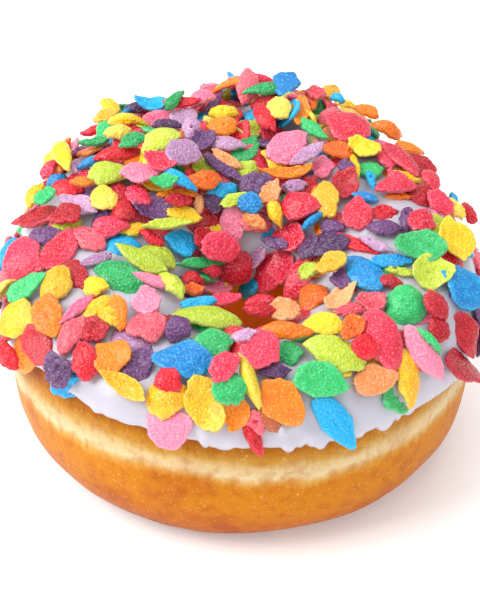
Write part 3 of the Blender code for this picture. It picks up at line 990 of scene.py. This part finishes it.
def carried_by_icing(flakes, tree, owners):
    """The flakes that touch the icing, straight or through others."""
    close = [
        {owners[index] for point in probe(flake) for _, index, _ in tree.find_range(point, TOUCH)}
        for flake in flakes
    ]
    carried = {-1}
    while True:
        more = {number for number, near in enumerate(close) if number not in carried and near & carried}
        if not more:
            return carried
        carried |= more


def settle(flakes, bed):
    """Slides each flake that hangs free back along the view until it touches the crust. One whose sight line
    passes over the crust goes straight to the nearest flake instead."""
    moved = 0
    for _ in range(SETTLE_ROUNDS):
        tree, owners = tree_and_owners(flakes, bed)
        carried = carried_by_icing(flakes, tree, owners)
        for flake in (flake for number, flake in enumerate(flakes) if number not in carried):
            moved += 1
            place = flake["frame"].translation.copy()
            for step in range(SETTLE_STEPS):
                flake["frame"].translation = place - TO_CAMERA * (step * TOUCH / STEPS_PER_TOUCH)
                spots = [index for point in probe(flake) for _, index, _ in tree.find_range(point, TOUCH)]
                if any(owners[index] in carried for index in spots):
                    break
            else:
                flake["frame"].translation = place
                gaps = [
                    (far, spot - point)
                    for point in probe(flake)
                    for spot, index, far in tree.find_n(point, NEAREST_POINTS)
                    if owners[index] in carried
                ]
                if gaps:
                    far, way = min(gaps, key=lambda gap: gap[0])
                    flake["frame"].translation += way * (1 - TOUCH_SHARE * TOUCH / far)
    return moved


# %% [markdown]
# No two alike
#
# Every flake gets its own noise, its own burst bubbles and its own tone, all drawn from one seed, so that the
# crust is the same each time. Only then does each flake have its full shape, so the rules above come after.

# %% Each flake's own grain, craters and tone
own_draw = random.Random(77)
for flake in landed:
    flake["grain"] = Vector([own_draw.uniform(-50, 50) for _ in range(3)])
    flake["tone"] = own_draw.random()
    flake["puff"] = own_draw.uniform(0.5, 1.7)
    flake["craters"] = []
    for _ in range(own_draw.choice((0, 0, 0, 1, 1, 2, 3))):
        way, out = own_draw.uniform(0, math.tau), own_draw.uniform(0, 0.62)
        flake["craters"].append((
            out * math.cos(way) * flake["length"] / 2,
            out * math.sin(way) * flake["width"] / 2,
            own_draw.uniform(0.00035, 0.0008),
            own_draw.choice((-1, 1)),
        ))

# %% Applying the rules
by_hand = [flake for flake in landed if "kind" in flake]
others = [flake for flake in landed if "kind" not in flake]
for flake in others:
    for top in by_hand:
        press_under(flake, top)
    clear_of_spot(flake)
for flake in landed:
    clear_of_hole(flake)
    keep_in_box(flake)
print("flakes laid by hand:", len(by_hand), "under and round them:", len(others),
      "settled:", settle(landed, bed))
for flake in landed:
    clear_of_hole(flake)

# %% [markdown]
# Colours
#
# A colour picker gives sRGB values, and a shader works with linear ones, so one function turns a hex code to
# what the shader wants.

# %% Colour helper


def rgb(code):
    """The linear red, green, blue and alpha of an sRGB hex code."""
    parts = [int(code[i:i + 2], 16) / 255 for i in (1, 3, 5)]
    return tuple(p / 12.92 if p <= 0.04045 else ((p + 0.055) / 1.055) ** 2.4 for p in parts) + (1.0,)


# %% [markdown]
# Fourteen colours
#
# The flakes were coloured in batches, each with its own food colour. Every colour has a deep, a middle and a
# pale tone, and the number before them is its share of the flakes that were not listed.

# %% Flake colours
FLAKE_KINDS = {
    "cherry": (0.17, "#AE0010", "#DA001C", "#F86880"),
    "rose": (0.15, "#D20A30", "#EE2C50", "#FB9EAE"),
    "salmon": (0.05, "#E03A50", "#F26474", "#FBB0B4"),
    "light_pink": (0.06, "#EC6088", "#F784A4", "#FCC8D6"),
    "orange": (0.12, "#E85A00", "#FA8200", "#FFBA60"),
    "peach": (0.04, "#F08C48", "#F8B070", "#FEDCBC"),
    "yellow": (0.13, "#ECAA00", "#FCD400", "#FFF088"),
    "lemon": (0.03, "#E8C828", "#F6DC54", "#FEF0A4"),
    "lime": (0.06, "#AAC018", "#CCDE3C", "#EEF6A4"),
    "green": (0.07, "#00984A", "#28C068", "#94E8B4"),
    "blue": (0.08, "#007AC4", "#00AEEA", "#6AD6FA"),
    "purple": (0.07, "#46204E", "#683870", "#A888B0"),
    "mauve": (0.04, "#A874A2", "#C898C0", "#F0DCEC"),
    # no share: russet is only the one flake laid in the dark patch under the front orange flake
    "russet": (0.00, "#A0401C", "#B85A30", "#DC9878"),
}
print("flake colours:", len(FLAKE_KINDS))

# %% [markdown]
# Building the flakes
#
# All flakes of one colour are joined in one mesh. Each starts as its own ball from the same operator, and
# every point also remembers two numbers for the material: the flake's tone, and how near it is to the rim. A
# flake that wasn't listed draws three colours and takes the first one that no flake close by has.

# %% Flakes
NEAR_BY = 0.007


def build_kind(kind, flakes):
    shape = bmesh.new()
    tone_layer = shape.verts.layers.float.new("tone")
    rim_layer = shape.verts.layers.float.new("rim")
    for flake in flakes:
        ball = bmesh.ops.create_icosphere(shape, subdivisions=4, radius=1.0)["verts"]
        for vertex in ball:
            vertex[tone_layer] = flake["tone"]
            vertex[rim_layer] = math.hypot(vertex.co.x, vertex.co.y)
            vertex.co = flake_point(flake, *vertex.co) + TO_FRAME
    bmesh.ops.recalc_face_normals(shape, faces=shape.faces)
    return finish_mesh(f"flakes_{kind}", shape)


kind_draw = random.Random(4)
names = list(FLAKE_KINDS)
shares = [FLAKE_KINDS[name][0] for name in names]
for flake in landed:
    if "kind" in flake:
        continue
    near_kinds = [
        other["kind"] for other in landed
        if "kind" in other and (other["frame"].translation - flake["frame"].translation).length < NEAR_BY
    ]
    choice = kind_draw.choices(names, shares, k=3)
    flake["kind"] = next((name for name in choice if name not in near_kinds), choice[0])
flake_pieces = {name: build_kind(name, [f for f in landed if f["kind"] == name]) for name in names}

# %% [markdown]
# Materials
#
# One small function adds a shader node with its settings, its links and, for a colour ramp, its stops. So
# each finish below reads as a short list of what the eye sees.

# %% A node with its settings and links


def add(tree, kind, inputs=(), stops=(), **settings):
    """Adds a node. An input is a socket to link from, or a value. A stop is a place and a hex code."""
    node = tree.nodes.new(kind)
    for name, value in settings.items():
        setattr(node, name, value)
    for name, value in dict(inputs).items():
        if isinstance(value, bpy.types.NodeSocket):
            tree.links.new(value, node.inputs[name])
        else:
            node.inputs[name].default_value = value
    for number, (place, code) in enumerate(stops):
        elements = node.color_ramp.elements
        element = elements[number] if number < 2 else elements.new(place)
        element.position = place
        element.color = rgb(code)
    return node


def new_material(name, **sockets):
    material = bpy.data.materials.new(name)
    material.use_nodes = True
    tree = material.node_tree
    shader = tree.nodes["Principled BSDF"]
    for socket, value in sockets.items():
        shader.inputs[socket.replace("_", " ")].default_value = value
    return material, tree, shader


# %% [markdown]
# Fried dough
#
# The crust is golden where it met the hot fat, pale in the band between, and brownest towards the foot and
# just under the icing. Under the icing the darkening is partly browning and partly painted shade from the
# icing's edge. The wall of the hole is a lighter orange, painted light against the shade deep in the hole. It
# has a faint gloss from the fat. The colour follows the stored height over the band, shaken by noise so that
# its edges are soft and uneven. The streaks are noise that was stretched upright.

# %% The height over the band, shaken
PER_MM = 1000.0  # patterns are counted in millimetres
STREAK_STRETCH = 0.22
BAND_SHAKE, STREAK_SHAKE = 5.0, 1.8  # in millimetres
RAMP_START, RAMP_END = -25.0, 10.0  # millimetres over the band where the colour ramp starts and ends
PORES_FROM, PORES_FULL, PORES_MOST = 0.60, 0.72, 0.35  # where the finest noise shows as pale pores
# how far the wall of the hole is lightened towards bright orange: painted light against its shade
HOLE_WALL_PAINTED_LIGHT = 0.8

material, tree, shader = new_material(
    "fried_dough_golden_crust", Roughness=0.42, Subsurface_Weight=0.12, Subsurface_Scale=0.003,
    Subsurface_Radius=(1.0, 0.5, 0.2), Specular_IOR_Level=0.12,
)
where = add(tree, "ShaderNodeTexCoord").outputs["Object"]
height = add(tree, "ShaderNodeAttribute", attribute_name="rise").outputs["Fac"]
blotch = add(tree, "ShaderNodeTexNoise", {
    "Vector": where, "Scale": 0.11 * PER_MM, "Detail": 4.0}).outputs["Fac"]
upright = add(tree, "ShaderNodeMapping", {"Vector": where, "Scale": (1.0, 1.0, STREAK_STRETCH)})
streak = add(tree, "ShaderNodeTexNoise", {
    "Vector": upright.outputs["Vector"], "Scale": 1.1 * PER_MM, "Detail": 3.0}).outputs["Fac"]
shaken = height
for pattern, shake in ((blotch, BAND_SHAKE), (streak, STREAK_SHAKE)):
    centred = add(tree, "ShaderNodeMath", {0: shaken, 1: -shake / 2}, operation="ADD").outputs[0]
    moved = add(tree, "ShaderNodeMath", {0: pattern, 1: shake, 2: centred}, operation="MULTIPLY_ADD")
    shaken = moved.outputs[0]
along = add(tree, "ShaderNodeMapRange", {"Value": shaken, "From Min": RAMP_START, "From Max": RAMP_END})

# %% Crust colours, from the foot up to the icing
# The last stops darken the crust just under the icing: partly its own browning, partly painted shade.
crust = add(tree, "ShaderNodeValToRGB", {"Fac": along.outputs["Result"]}, stops=(
    (0.00, "#924000"), (0.22, "#BA6200"), (0.42, "#C87A00"), (0.60, "#C87A00"), (0.645, "#CE9840"),
    (0.695, "#DAC498"), (0.755, "#D2B680"), (0.81, "#C29038"), (0.87, "#B4720C"), (0.93, "#A05800"),
)).outputs["Color"]
tint = add(tree, "ShaderNodeValToRGB", {"Fac": blotch}, stops=(
    (0.30, "#D9A26A"), (0.50, "#FFFFFF"), (0.72, "#FFFFFF"))).outputs["Color"]
mottle = add(tree, "ShaderNodeTexNoise", {
    "Vector": where, "Scale": 0.45 * PER_MM, "Detail": 6.0}).outputs["Fac"]
patches = add(tree, "ShaderNodeValToRGB", {"Fac": mottle}, stops=(
    (0.36, "#D8A070"), (0.52, "#FFFFFF"), (0.70, "#FFF4DC"))).outputs["Color"]
speck = add(tree, "ShaderNodeTexNoise", {
    "Vector": where, "Scale": 1.4 * PER_MM, "Detail": 5.0}).outputs["Fac"]
pores = add(tree, "ShaderNodeMapRange", {
    "Value": speck, "From Min": PORES_FROM, "From Max": PORES_FULL, "To Max": PORES_MOST}).outputs["Result"]
# where the painted light on the wall of the hole goes
hole_wall_light = add(tree, "ShaderNodeAttribute", attribute_name="in_hole").outputs["Fac"]
hole_wall_light = add(tree, "ShaderNodeMath", {0: hole_wall_light, 1: HOLE_WALL_PAINTED_LIGHT}, operation="MULTIPLY").outputs[0]

# %% Laying them over each other
for factor, layer, way in (
    (0.5, tint, "MULTIPLY"), (0.38, patches, "MULTIPLY"),
    # the pale pores are the dough's own; the bright orange on the wall of the hole is painted light
    (pores, rgb("#EFC27A"), "MIX"), (hole_wall_light, rgb("#FF9C2C"), "MIX"),
):
    crust = add(tree, "ShaderNodeMix", {"Factor": factor, "A": crust, "B": layer},
                data_type="RGBA", blend_type=way).outputs["Result"]
tree.links.new(crust, shader.inputs["Base Color"])
relief = add(tree, "ShaderNodeBump", {"Height": speck, "Strength": 0.6, "Distance": 0.00035})
tree.links.new(relief.outputs["Normal"], shader.inputs["Normal"])
dough.data.materials.append(material)
print("fried dough:", len(tree.nodes), "nodes")

# %% [markdown]
# Sugar icing
#
# Icing is powdered sugar in a little water: white, faintly cool, and satin once set. Light goes a few
# millimetres into it, which softens its shadows.

# %% Sugar icing, poured and set
material, tree, shader = new_material(
    "sugar_icing_poured", Base_Color=rgb("#BFBCC8"), Roughness=0.26, IOR=1.46, Coat_Weight=0.15,
    Coat_Roughness=0.2, Subsurface_Weight=0.35, Subsurface_Scale=0.004, Subsurface_Radius=(1.0, 0.9, 0.95),
)
where = add(tree, "ShaderNodeTexCoord").outputs["Object"]
grain = add(tree, "ShaderNodeTexNoise", {"Vector": where, "Scale": 0.32 * PER_MM, "Detail": 3.0})
relief = add(tree, "ShaderNodeBump", {"Height": grain.outputs["Fac"], "Strength": 0.5, "Distance": 0.0006})
tree.links.new(relief.outputs["Normal"], shader.inputs["Normal"])
icing.data.materials.append(material)
print("sugar icing:", len(tree.nodes), "nodes")

# %% [markdown]
# Puffed rice, coloured and glazed
#
# Each flake's skin is a foam of tiny bubbles under a thin sugar glaze. The colour is deep and patchy, paler
# towards the thin rim, and a little paler on the tops of the bubbles: a painted highlight that leaves the
# hollows between them deep as painted shade. Pale specks a third of a millimetre across stand on it, partly
# sugar crystals and partly painted glints, and the glaze glints on the bubbles. Light passes through the thin
# flakes, which keeps their shadows soft.

# %% Puffed rice flake finishes


def flake_finish(kind, deep, middle, pale):
    """A flake's colour is built up in layers, up to pale specks: partly crystals, partly painted glints."""
    material, tree, shader = new_material(
        f"puffed_rice_glazed_{kind}", Roughness=0.26, Subsurface_Weight=0.25, Subsurface_Scale=0.0014,
        Subsurface_Radius=(1.0, 0.8, 0.7), Specular_IOR_Level=0.32, Coat_Weight=0.25, Coat_Roughness=0.14,
    )
    where = add(tree, "ShaderNodeTexCoord").outputs["Object"]
    tone = add(tree, "ShaderNodeAttribute", attribute_name="tone").outputs["Fac"]
    rim = add(tree, "ShaderNodeAttribute", attribute_name="rim").outputs["Fac"]
    cloud = add(tree, "ShaderNodeTexNoise", {"Vector": where, "Scale": 0.45 * PER_MM, "Detail": 2.0})
    bubbles = add(tree, "ShaderNodeTexVoronoi", {"Vector": where, "Scale": 1.7 * PER_MM, "Smoothness": 0.5},
                  feature="SMOOTH_F1")
    crystals_and_glints = add(tree, "ShaderNodeTexNoise", {"Vector": where, "Scale": 2.7 * PER_MM, "Detail": 1.0})
    patch = add(tree, "ShaderNodeMath", {0: cloud.outputs["Fac"], 1: tone}, operation="ADD").outputs[0]
    body = rgb(deep)
    for value, none_at, full_at, most, over in (
        # the middle tone in patches; then a painted highlight on the bubble tops, the hollows left deep as
        # painted shade
        (patch, 0.65, 1.25, 1.0, middle), (bubbles.outputs["Distance"], 0.55, 0.15, 0.10, pale),
        # paler towards the rim; pale specks, partly sugar crystals and partly painted glints
        (rim, 0.78, 1.0, 0.22, pale), (crystals_and_glints.outputs["Fac"], 0.57, 0.68, 0.50, pale),
    ):
        share = add(tree, "ShaderNodeMapRange", {
            "Value": value, "From Min": none_at, "From Max": full_at, "To Max": most})
        body = add(tree, "ShaderNodeMix", {"Factor": share.outputs["Result"], "A": body, "B": rgb(over)},
                   data_type="RGBA").outputs["Result"]
    tree.links.new(body, shader.inputs["Base Color"])
    skin = add(tree, "ShaderNodeBump", {
        "Height": bubbles.outputs["Distance"], "Strength": 0.9, "Distance": 0.00030}, invert=True)
    fine = add(tree, "ShaderNodeBump", {
        "Height": crystals_and_glints.outputs["Fac"], "Strength": 0.7, "Distance": 0.00022,
        "Normal": skin.outputs["Normal"]})
    tree.links.new(fine.outputs["Normal"], shader.inputs["Normal"])
    return material


for kind, piece in flake_pieces.items():
    piece.data.materials.append(flake_finish(kind, *FLAKE_KINDS[kind][1:]))
print("flake finishes:", len(flake_pieces))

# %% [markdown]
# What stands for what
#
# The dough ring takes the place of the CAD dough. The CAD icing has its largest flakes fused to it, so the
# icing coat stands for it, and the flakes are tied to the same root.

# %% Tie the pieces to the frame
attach(dough, "root")
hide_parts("dough")
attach(icing, "root")
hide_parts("icing")
for piece in flake_pieces.values():
    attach(piece, "root")

# %% [markdown]
# The studio
#
# In the photograph the ground is pure white. A sheet of opal glass that is lit a little from below, as on a
# photographer's light table, keeps it white and the shadow on it faint. The light above is broad and soft,
# and brightest from the left.

# %% Floor
FLOOR_HALF = 3.0

floor_shape = bmesh.new()
bmesh.ops.create_grid(floor_shape, x_segments=1, y_segments=1, size=FLOOR_HALF)
floor = finish_mesh("studio_floor", floor_shape)
material, tree, shader = new_material(
    "opal_glass_lit_from_below", Base_Color=rgb("#FAFAFA"), Roughness=0.9,
    Emission_Color=(1.0, 1.0, 1.0, 1.0), Emission_Strength=0.18,
)
floor.data.materials.append(material)

# %% Lights
AIM = (0, 0, 0.03)


def soft_light(name, power, size, place):
    light = bpy.data.lights.new(name, "AREA")
    light.energy, light.size = power, size
    lamp = bpy.data.objects.new(name, light)
    lamp.location = place
    lamp.rotation_euler = (Vector(AIM) - Vector(place)).to_track_quat("-Z", "Y").to_euler()
    bpy.context.scene.collection.objects.link(lamp)


soft_light("window_left", power=9.8, size=0.7, place=(-0.75, -0.15, 0.75))
soft_light("fill_front", power=2.2, size=0.9, place=(0.35, -1.1, 0.55))
soft_light("top", power=3.6, size=0.8, place=(0.1, 0.25, 1.1))
world = bpy.data.worlds.new("white_room")
world.use_nodes = True
room = world.node_tree.nodes["Background"].inputs
room["Color"].default_value = (1.0, 1.0, 1.0, 1.0)
room["Strength"].default_value = 0.73
bpy.context.scene.world = world
bpy.context.scene.view_settings.view_transform = "Standard"
